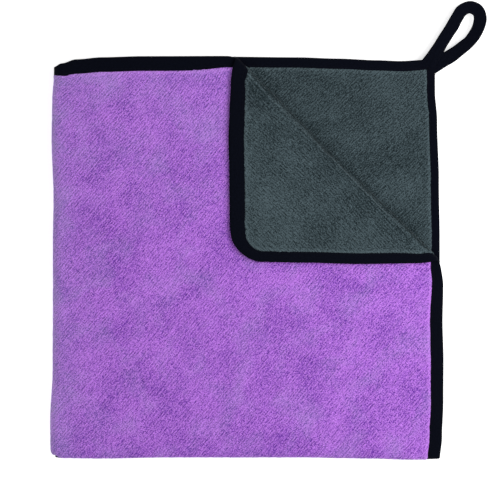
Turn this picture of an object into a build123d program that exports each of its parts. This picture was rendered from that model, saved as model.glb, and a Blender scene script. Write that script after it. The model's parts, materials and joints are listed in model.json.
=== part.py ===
"""Quick dry towel: two fleece plies in an edge tape, folded in quarters, one corner turned down.

Everything is in millimetres. The folded towel lies flat, +Z up, with the origin in the middle of
its underside. Its two folds are on the left (-X) and near (-Y) sides; its free edges are on the
right (+X) and far (+Y) sides, and the hanging loop leaves the far right corner.

The cloth is four quarter panels, which are layers 0 (bottom) to 3 (top), and the corner flap,
which is layer 4 and lies on the top panel. Each panel is a rigid slab with a quarter round along
each of its folds, so two neighbours meet at the outermost line of the fold between them.
"""

import math
import os
from dataclasses import dataclass

from build123d import *

# Driving dimensions
TOWEL_WIDTH = 600.0  # the open towel, across the main fold
TOWEL_HEIGHT = 620.0  # the open towel, across the cross fold
CLOTH = 3.6  # both plies together
LAYER_GAP = 0.4  # air between two layers that lie on each other
FOLD_CLEARANCE = 0.15  # between a fold's outermost line and the cloth
CORNER_RADIUS = 23.0
LOOP_CORNER_RADIUS = 4.0  # the corner that the loop is sewn into is almost square
FLAP_LEG = 158.0  # from the towel's corner to the crease, along each free edge
TAPE_WIDTH = 10.0  # the edge tape on each face
TAPE_THICKNESS = 0.5
SEAM_INSET = 8.0  # from the towel's edge to the seam that holds the tape
THREAD = 0.4
THREAD_DEPTH = 0.25  # how far the seam sinks into the tape
LOOP_TAPE = 1.6  # the loop's thickness, the tape folded double
LOOP_TAIL_WIDTH = 11.6
LOOP_TAIL_DEPTH = 12.0  # from the swing axis back into the corner
LOOP_TAIL_SHIFT = -0.9  # the tail's offset along the swing axis, towards the far edge
LOOP_AXIS_REACH = 3.05  # from the corner's tip out to the swing axis
LOOP_AXIS_GAP = 1.1  # each side of the swing axis, so the loop can stand upright
TACK_STITCHES = 7
TACK_LENGTH = 3.0
TACK_PITCH = 1.3
TACK_SETBACK = 6.0  # from the swing axis back to the bar tack

# Outline of the loop as circles that a stretched band would wrap: offset from the corner, radius
LOOP_OUTSIDE = [((-3.9, -1.0), 5.8), ((20.1, 18.5), 9.5), ((25.9, 34.5), 12.1)]
LOOP_HOLE = [((8.0, 10.5), 1.2), ((19.2, 21.1), 4.5), ((23.9, 34.5), 3.9)]

# Worked out from those
PLY = CLOTH / 2
PITCH = CLOTH + LAYER_GAP
RIGHT = TOWEL_WIDTH / 4
TOP = TOWEL_HEIGHT / 4
MAIN_FOLD_X = -RIGHT
CROSS_FOLD_Y = -TOP
MAIN_FOLD_Z = 2 * PITCH - LAYER_GAP / 2
LOWER_CROSS_Z = PITCH - LAYER_GAP / 2
UPPER_CROSS_Z = 3 * PITCH - LAYER_GAP / 2
FLAP_FOLD_Z = 4 * PITCH - LAYER_GAP / 2
WIDE_FOLD = MAIN_FOLD_Z  # radius of the fold round all four layers
TIGHT_FOLD = LOWER_CROSS_Z  # radius of a fold round two layers
SLAB_LEFT = MAIN_FOLD_X + FOLD_CLEARANCE + WIDE_FOLD
SLAB_NEAR = CROSS_FOLD_Y + FOLD_CLEARANCE + TIGHT_FOLD
DIAGONAL = math.sqrt(2)
CREASE_SUM = RIGHT + TOP - FLAP_LEG  # x + y along the crease's outermost line
CREASE_SLAB_SUM = CREASE_SUM - (FOLD_CLEARANCE + TIGHT_FOLD) * DIAGONAL
HUGE = 2 * TOWEL_HEIGHT

CREASE_PLANE = Plane(origin=(CREASE_SUM / 2, CREASE_SUM / 2, 0), x_dir=(1, -1, 0), z_dir=(1, 1, 0))
TIP_REACH = (RIGHT + TOP - 2 * LOOP_CORNER_RADIUS) / DIAGONAL + LOOP_CORNER_RADIUS
SWING_REACH = TIP_REACH + LOOP_AXIS_REACH  # from the origin to the swing axis, along the diagonal


@dataclass
class Panel:
    """One rigid panel of cloth: its layer, which way its purple face looks, and its folds."""

    name: str
    layer: int
    purple_up: bool
    main_fold: bool = True
    cross_fold_z: float = 0.0
    corner: float = CORNER_RADIUS

    @property
    def low(self):
        return self.layer * PITCH

    def ply_span(self, purple):
        """Lowest and highest z of the purple or the grey ply."""
        low = self.low + (PLY if purple == self.purple_up else 0.0)
        return low, low + PLY


PANELS = [
    Panel("bottom", 0, False, cross_fold_z=LOWER_CROSS_Z),
    Panel("lower_inner", 1, True, cross_fold_z=LOWER_CROSS_Z),
    Panel("upper_inner", 2, False, cross_fold_z=UPPER_CROSS_Z, corner=LOOP_CORNER_RADIUS),
    Panel("top", 3, True, cross_fold_z=UPPER_CROSS_Z),
    Panel("flap", 4, False, main_fold=False),
]


def quarter_outline(inset, corner):
    """A quarter of the towel in plan, drawn in from its two free edges, with a round free corner."""
    with BuildSketch() as outline:
        right, top, radius = RIGHT - inset, TOP - inset, corner - inset
        with BuildLine():
            Polyline((SLAB_LEFT, top), (SLAB_LEFT, SLAB_NEAR), (right, SLAB_NEAR))
            if radius > 0:
                Line((right, SLAB_NEAR), (right, top - radius))
                RadiusArc((right, top - radius), (right - radius, top), -radius)
                Line((right - radius, top), (SLAB_LEFT, top))
            else:
                Polyline((right, SLAB_NEAR), (right, top), (SLAB_LEFT, top))
        make_face()
    return outline.sketch


def beyond_crease(crease_sum):
    """Everything on the corner's side of the line x + y = crease_sum, as a large triangle."""
    with BuildSketch() as region:
        with BuildLine():
            Polyline((crease_sum - HUGE, HUGE), (HUGE, HUGE), (HUGE, crease_sum - HUGE), close=True)
        make_face()
    return region.sketch


def plan(panel, inset):
    """The flat part of a panel in plan, drawn in from its free edges."""
    with BuildSketch() as shape:
        add(quarter_outline(inset, panel.corner))
        if panel.name == "top":
            add(beyond_crease(CREASE_SLAB_SUM), mode=Mode.SUBTRACT)
        if panel.name == "flap":
            add(beyond_crease(2 * CREASE_SUM - CREASE_SLAB_SUM), mode=Mode.INTERSECT)
    if panel.name == "flap":
        return mirror(shape.sketch, about=CREASE_PLANE)
    return shape.sketch


def crease_plan(panel, inset):
    """The strip in plan under the quarter round at the crease, of the top panel or of the flap."""
    with BuildSketch() as strip:
        add(quarter_outline(inset, panel.corner))
        if panel.name == "top":
            add(beyond_crease(CREASE_SLAB_SUM), mode=Mode.INTERSECT)
            add(beyond_crease(CREASE_SUM), mode=Mode.SUBTRACT)
        else:
            add(beyond_crease(CREASE_SUM), mode=Mode.INTERSECT)
            add(beyond_crease(2 * CREASE_SUM - CREASE_SLAB_SUM), mode=Mode.SUBTRACT)
    if panel.name == "flap":
        return mirror(strip.sketch, about=CREASE_PLANE)
    return strip.sketch


def slab(sketch, low, high):
    """A plan extruded from one height to another, added to the part being built."""
    with BuildSketch(Plane.XY.offset(low)) as base:
        add(sketch)
    extrude(base.sketch, amount=high - low)


def quarter_round(plane, centre, span, outward, length):
    """A quarter ring that carries a ply's span of z round a fold, added to the part being built.

    plane is square to the fold; centre is the ring's centre on it; outward is -1 or 1, the way
    along the plane's x that the cloth bulges; length is how far the ring runs along the fold.
    """
    inner, outer = sorted(abs(z - centre[1]) for z in span)
    above = span[0] > centre[1]
    with BuildSketch(plane) as ring:
        with Locations(centre):
            Circle(outer)
            Circle(inner, mode=Mode.SUBTRACT)
        with Locations((centre[0], centre[1] + (LAYER_GAP if above else -LAYER_GAP) / 2)):
            across = Align.MIN if outward > 0 else Align.MAX
            up = Align.MIN if above else Align.MAX
            Rectangle(2 * outer, 2 * outer, align=(across, up), mode=Mode.INTERSECT)
    extrude(ring.sketch, amount=length)


def fold_rounds(panel, span, edge_low, edge_high):
    """The quarter rounds of one ply or tape along a panel's folds.

    edge_low and edge_high are distances in from the free edge that crosses each fold, so 0 and
    TAPE_WIDTH give the tape's part of the fold, and TAPE_WIDTH and None the rest of it.
    """
    if panel.main_fold:
        far = TOP - edge_low
        near = SLAB_NEAR if edge_high is None else TOP - edge_high
        quarter_round(Plane.XZ.offset(-far), (SLAB_LEFT, MAIN_FOLD_Z), span, -1, far - near)
    if panel.cross_fold_z:
        end = RIGHT - edge_low
        start = SLAB_LEFT if edge_high is None else RIGHT - edge_high
        quarter_round(Plane.YZ.offset(start), (SLAB_NEAR, panel.cross_fold_z), span, -1, end - start)


def crease_round(panel, span, sketch):
    """The quarter round of one ply or tape along the flap's crease, cut to a strip in plan."""
    across = (CREASE_SLAB_SUM - CREASE_SUM) / DIAGONAL
    plane = Plane(origin=(CREASE_SUM / 2, CREASE_SUM / 2, 0), x_dir=(1, 1, 0), z_dir=(1, -1, 0))
    with BuildPart(mode=Mode.PRIVATE) as ring:
        quarter_round(plane.offset(-HUGE / 2), (across, FLAP_FOLD_Z), span, 1, HUGE)
    with BuildPart(mode=Mode.PRIVATE) as column:
        with BuildSketch(Plane.XY):
            add(sketch)
        extrude(amount=FLAP_FOLD_Z + PITCH)
    add(ring.part & column.part)


def make_ply(panel, purple):
    """One fleece ply of a panel, thinner where the edge tape grips it."""
    low, high = panel.ply_span(purple)
    middle = panel.low + PLY
    grip = PLY - TAPE_THICKNESS
    with BuildPart() as ply:
        slab(plan(panel, TAPE_WIDTH), low, high)
        gripped = (middle, middle + grip) if low == middle else (middle - grip, middle)
        slab(plan(panel, TAPE_THICKNESS), *gripped)
        fold_rounds(panel, (low, high), TAPE_WIDTH, None)
        if panel.name in ("top", "flap"):
            crease_round(panel, (low, high), crease_plan(panel, TAPE_WIDTH))
    return ply


def seam_lines(panel):
    """The seam's line in plan, as wide as the thread."""
    with BuildSketch() as line:
        add(plan(panel, SEAM_INSET))
        add(plan(panel, SEAM_INSET + THREAD), mode=Mode.SUBTRACT)
    return line.sketch


def make_seam(panel):
    """The lockstitch seam on both faces of the edge tape, as a thread laid in it."""
    with BuildPart() as seam:
        slab(seam_lines(panel), panel.low, panel.low + THREAD_DEPTH)
        slab(seam_lines(panel), panel.low + CLOTH - THREAD_DEPTH, panel.low + CLOTH)
    return seam


def make_tape(panel, seam):
    """The edge tape of a panel: a channel that grips both plies, solid where it goes round a fold."""
    low, high = panel.low, panel.low + CLOTH
    with BuildPart() as tape:
        with BuildSketch(Plane.XY.offset(low)):
            add(plan(panel, 0))
            add(plan(panel, TAPE_WIDTH), mode=Mode.SUBTRACT)
        extrude(amount=CLOTH)
        with BuildSketch(Plane.XY.offset(low + TAPE_THICKNESS)):
            add(plan(panel, TAPE_THICKNESS))
        extrude(amount=CLOTH - 2 * TAPE_THICKNESS, mode=Mode.SUBTRACT)
        fold_rounds(panel, (low, high), 0.0, TAPE_WIDTH)
        if panel.name in ("top", "flap"):
            with BuildSketch(mode=Mode.PRIVATE) as band:
                add(crease_plan(panel, 0))
                add(crease_plan(panel, TAPE_WIDTH), mode=Mode.SUBTRACT)
            crease_round(panel, (low, high), band.sketch)
        add(seam.part, mode=Mode.SUBTRACT)
    return tape


# The hanging loop lies in the middle of the upper inner panel's thickness.
loop_low = 2 * PITCH + (CLOTH - LOOP_TAPE) / 2
outwards = Plane(origin=(SWING_REACH / DIAGONAL, SWING_REACH / DIAGONAL, 0), x_dir=(1, 1, 0))


def wrapped(circles):
    """The outline of a band stretched round circles that are placed from the towel's corner."""
    with BuildSketch() as outline:
        for (dx, dy), radius in circles:
            with Locations((RIGHT + dx, TOP + dy)):
                Circle(radius)
        make_hull()
    return outline.sketch


with BuildPart() as hanging_loop:
    with BuildSketch(Plane.XY.offset(loop_low)):
        add(wrapped(LOOP_OUTSIDE))
        add(wrapped(LOOP_HOLE), mode=Mode.SUBTRACT)
        add(beyond_crease((SWING_REACH + LOOP_AXIS_GAP) * DIAGONAL), mode=Mode.INTERSECT)
    extrude(amount=LOOP_TAPE)

tail_end = -LOOP_AXIS_GAP
with BuildPart() as loop_sewn_ends:
    with BuildSketch(outwards.offset(loop_low)):
        across = (TOP - RIGHT) / DIAGONAL - LOOP_TAIL_SHIFT
        with Locations((tail_end, across)):
            Rectangle(LOOP_TAIL_DEPTH, LOOP_TAIL_WIDTH, align=(Align.MAX, Align.CENTER))
    extrude(amount=LOOP_TAPE)

with BuildPart() as loop_bar_tack:
    tack_top = 2 * PITCH + CLOTH
    with BuildSketch(outwards.offset(tack_top - THREAD_DEPTH)):
        with Locations((-TACK_SETBACK, across)):
            with GridLocations(1, TACK_PITCH, 1, TACK_STITCHES):
                Rectangle(TACK_LENGTH, THREAD)
    extrude(amount=THREAD_DEPTH)

pieces = {
    "hanging_loop": hanging_loop,
    "loop_sewn_ends": loop_sewn_ends,
    "loop_bar_tack": loop_bar_tack,
}
for panel in PANELS:
    seam = make_seam(panel)
    made = {
        "purple_ply": make_ply(panel, True),
        "grey_ply": make_ply(panel, False),
        "edge_tape": make_tape(panel, seam),
        "seam_thread": seam,
    }
    if panel.name == "upper_inner":
        # The loop's ends lie between the plies, and its bar tack sinks into the tape.
        for kind in ("purple_ply", "grey_ply", "edge_tape"):
            with made[kind]:
                add(loop_sewn_ends.part, mode=Mode.SUBTRACT)
        with made["edge_tape"]:
            add(loop_bar_tack.part, mode=Mode.SUBTRACT)
    for kind, piece in made.items():
        pieces[f"{panel.name}_{kind}"] = piece

os.makedirs("parts", exist_ok=True)
for name, piece in pieces.items():
    piece.part.label = name
    export_step(piece.part, f"parts/{name}.step")

if __name__ == "__main__":
    swing = SWING_REACH / DIAGONAL
    print("main fold axis: x", MAIN_FOLD_X, "z", MAIN_FOLD_Z)
    print("cross fold axes: y", CROSS_FOLD_Y, "z", LOWER_CROSS_Z, UPPER_CROSS_Z)
    print("flap axis: x = y =", CREASE_SUM / 2, "z", FLAP_FOLD_Z)
    print("loop axis: x = y =", round(swing, 3), "z", loop_low + LOOP_TAPE / 2)
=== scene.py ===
"""Looks of a quick dry towel: purple fleece outside, grey inside, bound in black tape, with a loop.

The towel is folded in quarters and its top corner is turned down. Lengths are in millimetres
until a mesh is made, unless a comment says metres. Every piece is first laid out on the flat
cloth, in the plan coordinates of its own panel, and is then carried round the folds by fold() and
given the cloth's soft lie by settle(). Each panel is rigid and thins to nothing at a fold's
outermost line, which is the axis of the joint there, so the cloth stays whole as it is unfolded.
"""

import json
import math
from dataclasses import dataclass
from types import SimpleNamespace

import bmesh
import bpy
import numpy as np
from bpy.props import FloatProperty, FloatVectorProperty, PointerProperty
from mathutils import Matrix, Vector


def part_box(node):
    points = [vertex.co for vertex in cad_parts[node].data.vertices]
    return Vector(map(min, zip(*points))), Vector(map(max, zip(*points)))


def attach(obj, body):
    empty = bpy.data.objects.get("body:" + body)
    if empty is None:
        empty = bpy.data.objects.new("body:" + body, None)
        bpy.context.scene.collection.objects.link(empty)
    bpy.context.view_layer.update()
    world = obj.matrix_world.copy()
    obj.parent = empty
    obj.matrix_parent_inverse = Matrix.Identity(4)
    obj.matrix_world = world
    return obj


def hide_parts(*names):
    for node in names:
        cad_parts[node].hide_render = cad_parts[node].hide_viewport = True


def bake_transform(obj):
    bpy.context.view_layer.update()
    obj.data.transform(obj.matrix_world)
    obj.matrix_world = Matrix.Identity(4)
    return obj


bl_info = {
    "name": "Quick Dry Towel",
    "version": (1, 0, 0),
    "blender": (4, 5, 0),
    "location": "View3D > Sidebar > Towel",
    "description": "Builds the fleece, edge tape, seams and hanging loop of a folded towel",
    "category": "Object",
}

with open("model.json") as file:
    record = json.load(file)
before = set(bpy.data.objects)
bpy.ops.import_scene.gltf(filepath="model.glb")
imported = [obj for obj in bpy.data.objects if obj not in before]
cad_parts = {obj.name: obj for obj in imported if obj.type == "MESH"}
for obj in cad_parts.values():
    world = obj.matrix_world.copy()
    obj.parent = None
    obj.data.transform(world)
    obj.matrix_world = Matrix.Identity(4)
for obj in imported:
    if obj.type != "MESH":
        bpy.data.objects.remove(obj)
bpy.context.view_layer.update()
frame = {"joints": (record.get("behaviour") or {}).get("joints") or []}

MM = 0.001
JOINT_AT = {j["name"]: Vector(j["pos_m"]) / MM for j in frame["joints"]}
TAPE_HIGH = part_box("bottom_edge_tape")[1] / MM
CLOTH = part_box("upper_inner_edge_tape")[1].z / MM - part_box("upper_inner_seam_thread")[0].z / MM
PITCH = (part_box("flap_seam_thread")[0].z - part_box("top_seam_thread")[0].z) / MM
PLY = CLOTH / 2

# The folded towel in plan: its free edges, its fold axes and where its cloth starts to turn
RIGHT, TOP = TAPE_HIGH.x, TAPE_HIGH.y
LEFT, NEAR = JOINT_AT["main_fold"].x, JOINT_AT["cross_fold_lower"].y
HINGE_GAP = (PITCH - CLOTH) / 2  # from a fold's mid height to the cloth's inner face
TURN_SPARE = 0.15
WIDE_TURN = JOINT_AT["main_fold"].z + TURN_SPARE  # how far in from its axis the wide fold starts
TIGHT_TURN = JOINT_AT["cross_fold_lower"].z + TURN_SPARE
TURN_LENGTH = 1.55  # length of cloth in a fold, as a share of how far in it starts
CREASE_SUM = 2 * JOINT_AT["corner_fold"].x  # x + y along the turned-down corner's crease
ROUNDING = 7.0  # radius of the folded towel's near left corner, seen from above
FLAP_LEG = 162.0  # a little more than a leg of the flap's triangle
TUCK = 1.2  # how far the fleece's edge lies inside the tape
BACK_BLOCK = 4  # a plain back's faces are this many lattice steps square
CREASE_FINE = 10.0  # how near the crease a back keeps the lattice's own faces
ROOT2 = math.sqrt(2)


def measure(name, description, size, least=0.0):
    """A length that a user may change, given in millimetres and kept in metres."""
    return FloatProperty(
        name=name, description=description, default=size * MM, min=least * MM,
        precision=5, unit="LENGTH",
    )


class TowelSizes(bpy.types.PropertyGroup):
    """Sizes of the towel's fleece, seam and loop."""

    tuft: measure("Tuft", "Height of the napped pile", 0.5)
    sink: measure("Sink", "How far the pile's roots lie under its nominal face", 0.38)
    rib: measure("Rib", "Spacing of the pile's diagonal ribs", 2.0, 0.5)
    lie: measure("Lie", "How much the top layer waves up and down", 0.8)
    stitch: measure("Stitch", "Length of one seam stitch", 2.6, 1.0)
    stitch_gap: measure("Stitch gap", "From one stitch to the next", 0.7)
    thread: measure("Thread", "Thread thickness", 0.42, 0.1)
    loop_width: measure("Loop width", "Width of the loop's tape", 10.0, 2.0)
    loop_thickness: measure("Loop thickness", "The loop's tape, folded double", 1.5, 0.3)


def in_millimetres(group):
    """The lengths in a property group, by name, in millimetres."""
    return SimpleNamespace(**{name: getattr(group, name) / MM for name in group.__annotations__})


def srgb(code):
    """An sRGB hex colour as linear red, green and blue."""
    parts = [int(code[i : i + 2], 16) / 255 for i in (1, 3, 5)]
    return tuple(p / 12.92 if p <= 0.04045 else ((p + 0.055) / 1.055) ** 2.4 for p in parts)


def colour(name, description, code):
    """A colour that a user may change, given as sRGB hex."""
    return FloatVectorProperty(
        name=name, description=description, subtype="COLOR", size=3, default=srgb(code)
    )


class TowelColours(bpy.types.PropertyGroup):
    """Colours of the towel's finishes and of the floor."""

    purple_deep: colour("Purple, deep", "Between the tufts of the outside pile", "#5f1fa0")
    purple_bright: colour("Purple, bright", "On the tips of the outside pile", "#cd84f6")
    grey_deep: colour("Grey, deep", "Between the tufts of the inside pile", "#142125")
    grey_bright: colour("Grey, bright", "On the tips of the inside pile", "#516167")
    # The same pale colour is mixed in round the wide fold as painted sheen, and towards the far
    # edge
    ground_and_sheen: colour("Ground", "The pale knit that shows where the pile parts", "#a9b4d6")
    tape: colour("Tape", "The black edge tape and loop", "#070912")
    thread: colour("Thread", "The black seam thread", "#090b14")
    floor: colour("Floor", "The pale floor", "#ffffff")


@dataclass
class Panel:
    """One panel of cloth: its layer, which way its purple face looks and how its edges end."""

    name: str
    body: str
    layer: int
    purple_up: bool
    cross: str = ""  # the joint of its cross fold
    wide: bool = False  # whether its main fold goes round all four layers
    corner: float = 23.0  # radius of its free corner
    top_tape: float = 10.0  # how much of the tape shows along its far edge
    right_tape: float = 10.0
    rests_on: str = ""

    @property
    def low(self):
        """Height of its underside. The flap is laid out at the top panel's height and turned."""
        return min(self.layer, 3) * PITCH

    @property
    def turned(self):
        """Whether it is the turned-down corner."""
        return self.name == "flap"

    @property
    def creased(self):
        """Whether the turned-down corner's crease is one of its edges."""
        return self.name in ("top", "flap")


PANELS = [
    Panel("bottom", "bottom_panel", 0, False, "cross_fold_lower", True),
    Panel(
        "lower_inner", "lower_inner_panel", 1, True, "cross_fold_lower",
        rests_on="bottom_fleece_grey",
    ),
    Panel(
        "upper_inner", "upper_inner_panel", 2, False, "cross_fold_upper",
        corner=4.0, top_tape=8.2, right_tape=6.4, rests_on="lower_inner_fleece_purple",
    ),
    Panel(
        "top", "top_panel", 3, True, "cross_fold_upper", True,
        corner=0.0, top_tape=11.5, right_tape=9.9, rests_on="upper_inner_fleece_grey",
    ),
    Panel(
        "flap", "corner_flap", 4, True,
        top_tape=11.6, right_tape=8.3, rests_on="top_fleece_purple",
    ),
]


# How the flat cloth lies


def ease(share):
    """0 to 1 with a soft start and a soft end."""
    share = np.clip(share, 0, 1)
    return share * share * (3 - 2 * share)


def lumps(points, size, seed=0):
    """Smooth random heights from -1 to 1 over flat points, with lumps about size across.

    The heights are a hash of the whole cell and the seed, so they are the same in every run.
    """
    cells = np.asarray(points, float) / size
    whole = np.floor(cells).astype(np.int64)
    part = cells - whole
    part = part * part * (3 - 2 * part)

    def height(right, up):
        mixed = (whole[:, 0] + right) * 374761393 + (whole[:, 1] + up) * 668265263 + seed * 97531
        mixed = (mixed ^ (mixed >> 13)) * 1274126177 & 0xFFFFFFFF
        return ((mixed ^ (mixed >> 16)) & 0xFFFF) / 32767.5 - 1

    low = height(0, 0) * (1 - part[:, 0]) + height(1, 0) * part[:, 0]
    high = height(0, 1) * (1 - part[:, 0]) + height(1, 1) * part[:, 0]
    return low * (1 - part[:, 1]) + high * part[:, 1]


def bend(across, z, start, reach, hinge_z, side, inner, rounded, length=None, lip=None):
    """Carries cloth round a fold: (across, z) of points on flat cloth becomes the same in place.

    The cloth turns from start to start - reach, where the joint's axis is at hinge_z. side is 1
    for cloth above the axis and -1 below it, and inner its nearer face's distance from it. length
    is how much cloth turns. A rounded fold's outer face is a quarter ellipse, and another's draws
    in as softly as its inner face. lip, from 0 to 1 at each point, presses a rounded fold into a
    sharp crease.
    """
    outer = inner + CLOTH
    turn = np.clip((start - across) / (length or TURN_LENGTH * reach), 0, 1) * math.pi / 2
    place = np.where(across < start, start - reach * np.sin(turn), across)
    tuck = 1 - ease(np.sin(turn))
    outside = outer * (np.cos(turn) if rounded else tuck)
    if lip is not None:
        # The outer face drops at a shoulder and runs on as a thin lip
        share = turn * 2 / math.pi
        pressed = outer * (1 - 0.84 * ease(share / 0.5)) * (1 - share**3)
        outside = outside + lip * (pressed - outside)
    share = (side * (z - hinge_z) - inner) / CLOTH
    height = hinge_z + side * (inner * tuck + share * (outside - inner * tuck))
    return place, np.where(turn > 0, height, z)


def crease_line(panel):
    """x + y along the crease on a panel's flat cloth, which is longer there than in plan."""
    spare = (TURN_LENGTH - 1) * TIGHT_TURN * ROOT2
    return CREASE_SUM + (-spare if panel.turned else spare)


# The crease is pressed sharp about its middle, as far as PRESSED from it, and less by its ends
CREASE_MIDDLE, PRESSED, PRESSED_FADE = -3.5, 104.0, 60.0


def fold(panel, flat, z, crease=None):
    """Where points of a panel's flat cloth are once the towel is folded."""
    x, y, z = flat[:, 0].copy(), flat[:, 1].copy(), np.array(z, float)
    if panel.creased:
        line = crease_line(panel) if crease is None else crease
        inward, spare = 1 if panel.turned else -1, abs(line - CREASE_SUM) / ROOT2
        away = inward * (x + y - line) / ROOT2 - spare
        hinge_z, length = JOINT_AT["corner_fold"].z, TIGHT_TURN + spare
        lip = ease((PRESSED - np.abs((x - y) / ROOT2 - CREASE_MIDDLE)) / PRESSED_FADE)
        place, z = bend(away, z, TIGHT_TURN, TIGHT_TURN, hinge_z, -1, HINGE_GAP, True, length, lip)
        shift = inward * (place - away) / ROOT2
        x, y = x + shift, y + shift
    if panel.turned:
        x, y, z = CREASE_SUM - y, CREASE_SUM - x, 2 * JOINT_AT["corner_fold"].z - z
    if panel.cross:
        axis = JOINT_AT[panel.cross]
        side = 1 if panel.low > axis.z else -1
        y, z = bend(y, z, NEAR + TIGHT_TURN, TIGHT_TURN, axis.z, side, HINGE_GAP, True)
        axis = JOINT_AT["main_fold"]
        side = 1 if panel.low > axis.z else -1
        inner = PITCH + HINGE_GAP if panel.wide else HINGE_GAP
        x, z = bend(x, z, LEFT + WIDE_TURN, WIDE_TURN, axis.z, side, inner, panel.wide)
    return np.stack([x, y, z], axis=1)


# How far the cloth's outline wanders from its true rectangle: (place along the edge, outward)
FAR_EDGE = (
    (-150, -7.0), (-143, -4.6), (-132, -1.5), (-112, 0.1), (-80, 0.9), (-20, 1.1), (40, 0.5),
    (72, -0.5), (104, -1.7), (122, -2.3), (150, -0.9),
)
NEAR_EDGE = ((-150, 1.7), (-110, 2.0), (-60, 1.2), (40, 1.2), (95, 2.0), (128, 3.0), (150, 2.4))
LEFT_EDGE = (
    (-150, 2.6), (-125, 2.8), (-90, 0.9), (-30, 0.7), (10, 0.7), (45, 0.2), (95, 1.7), (122, 1.2),
    (140, 0.1), (150, 0.0),
)
RIGHT_EDGE = ((-155, 0.2), (-60, 0.8), (13, 1.0), (60, 0.4), (106, -1.0), (130, -2.7), (155, -2.7))
TOP_RIGHT_EDGE = (
    (-155, 0.6), (-138, 2.3), (-112, 3.3), (-80, 3.4), (-50, 2.7), (-22, 3.2), (-5, 1.3), (10, 0.0),
)
FLAP_LEFT_EDGE = (
    (4, 3.0), (14, 3.9), (30, 4.7), (66, 5.0), (92, 5.6), (110, 4.9), (133, 3.8), (150, 2.2),
)
FLAP_NEAR_EDGE = ((0, 0.2), (15, 0.9), (45, 1.4), (88, 2.5), (130, 1.9), (147, 0.8))
TOP_RIGHT_END = 13.0  # where the top panel's right edge meets the crease
# How far in from an edge its wander is felt
RIGHT_REACH, FOLD_REACH, FLAP_REACH = 110.0, 60.0, 70.0
FAR_REACH_LEAST, FAR_REACH_MORE = 16.0, 74.0  # by the main fold, and added away from it
FAR_REACH_FROM, FAR_REACH_OVER = -152.0, 34.0  # x where it starts to grow, and over how much
AXIS_CLEAR = 1.6  # how far above or below its axis a fold bulges in full
# The crease's tips: how much narrower the tape is drawn, over what length, and their blunting
FAR_PINCH, RIGHT_PINCH, PINCH_LENGTH, PINCH_DEPTH = 3.7, 2.6, 22.0, 9.0
BLUNT, BLUNT_LENGTH = 1.1, 3.5


def along(edge, place):
    """The wander of an edge at places along it, eased between its knots."""
    knots, values = (np.array(v, float) for v in zip(*edge))
    at = np.clip(np.searchsorted(knots, place) - 1, 0, len(knots) - 2)
    share = ease((place - knots[at]) / (knots[at + 1] - knots[at]))
    return values[at] + (values[at + 1] - values[at]) * share


def crease_tips(panel, x, y):
    """How far the crease's two tips are drawn in: its tape is narrower there, and blunted."""
    out_x, out_y = np.zeros(len(x)), np.zeros(len(x))
    for far, pinch in ((True, FAR_PINCH), (False, RIGHT_PINCH)):
        tip = (CREASE_SUM - TOP, TOP) if far else (RIGHT, CREASE_SUM - RIGHT)
        if far:
            inset = x - tip[0] if panel.turned else TOP - y
        else:
            inset = y - tip[1] if panel.turned else RIGHT - x
        gap = np.hypot(x - tip[0], y - tip[1])
        shift = pinch * ease(inset / PINCH_DEPTH) * np.exp(-((gap / PINCH_LENGTH) ** 2))
        blunt = BLUNT * np.exp(-((gap / BLUNT_LENGTH) ** 2))
        if far:
            out_x, out_y = out_x - shift, out_y + shift - blunt
        else:
            out_x, out_y = out_x + shift - blunt, out_y - shift
    return out_x, out_y


def outline_shift(panel, x, y, z):
    """How far right and far folded points move for the outline that the towel has."""
    near_right = ease(1 - (RIGHT - x) / RIGHT_REACH)
    away = ease((x - FAR_REACH_FROM) / FAR_REACH_OVER)
    far_reach = FAR_REACH_LEAST + FAR_REACH_MORE * away
    near_top = ease(1 - (TOP - y) / far_reach)
    near_left = ease(1 - (x - LEFT) / FOLD_REACH)
    near_bottom = ease(1 - (y - NEAR) / FOLD_REACH)
    # A fold bulges on each side of its axis but not at it, so its panels still meet when opened
    from_fold = np.abs(z - JOINT_AT["main_fold"].z)
    near_left = near_left * ease(from_fold / AXIS_CLEAR)
    if panel.wide:
        # Only the outer face of the wide fold bulges: its inner face would bare it when opened
        round_in = np.clip(1 - (x - LEFT) / WIDE_TURN, 0, 1)
        outward = np.hypot(round_in, from_fold / (PITCH + HINGE_GAP + CLOTH))
        near_left = near_left * ease((outward - 0.75) / 0.25)
    if panel.cross:
        near_bottom = near_bottom * ease(np.abs(z - JOINT_AT[panel.cross].z) / AXIS_CLEAR)
    out_x = along(RIGHT_EDGE, y) * near_right - along(LEFT_EDGE, y) * near_left
    out_y = along(FAR_EDGE, x) * near_top - along(NEAR_EDGE, x) * near_bottom
    if panel.name == "top":
        replaced = np.where(y < TOP_RIGHT_END, along(RIGHT_EDGE, y), 0)
        out_x += (along(TOP_RIGHT_EDGE, y) - replaced) * near_right
    if panel.turned:
        corner_x, corner_y = CREASE_SUM - TOP, CREASE_SUM - RIGHT
        free = ease((CREASE_SUM - x - y) / ROOT2 / 8)  # none of it at the crease
        out_x -= along(FLAP_LEFT_EDGE, y) * ease(1 - (x - corner_x) / FLAP_REACH) * free
        out_y -= along(FLAP_NEAR_EDGE, x) * ease(1 - (y - corner_y) / FLAP_REACH) * free
    if panel.creased:
        tips_x, tips_y = crease_tips(panel, x, y)
        out_x, out_y = out_x + tips_x, out_y + tips_y
    return out_x, out_y


def layer_wave(x, y):
    """Slow waves of pressed cloth, from about -1.5 to 1.5, none at the folds and the crease."""
    held = ease((x - LEFT) / 25) * ease((y - NEAR) / 25)
    held = held * ease(0.1 + np.abs(x + y - CREASE_SUM) / 30)
    wave = (
        np.sin(x / 31 + 0.6 * np.sin(y / 47))
        + np.sin(y / 26 + x / 71 + 1.3)
        + 0.6 * np.sin((x - y) / 19 + 0.5)
        + 0.4 * np.sin((x + 1.7 * y) / 13)
    )
    return wave / 2 * held


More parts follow.
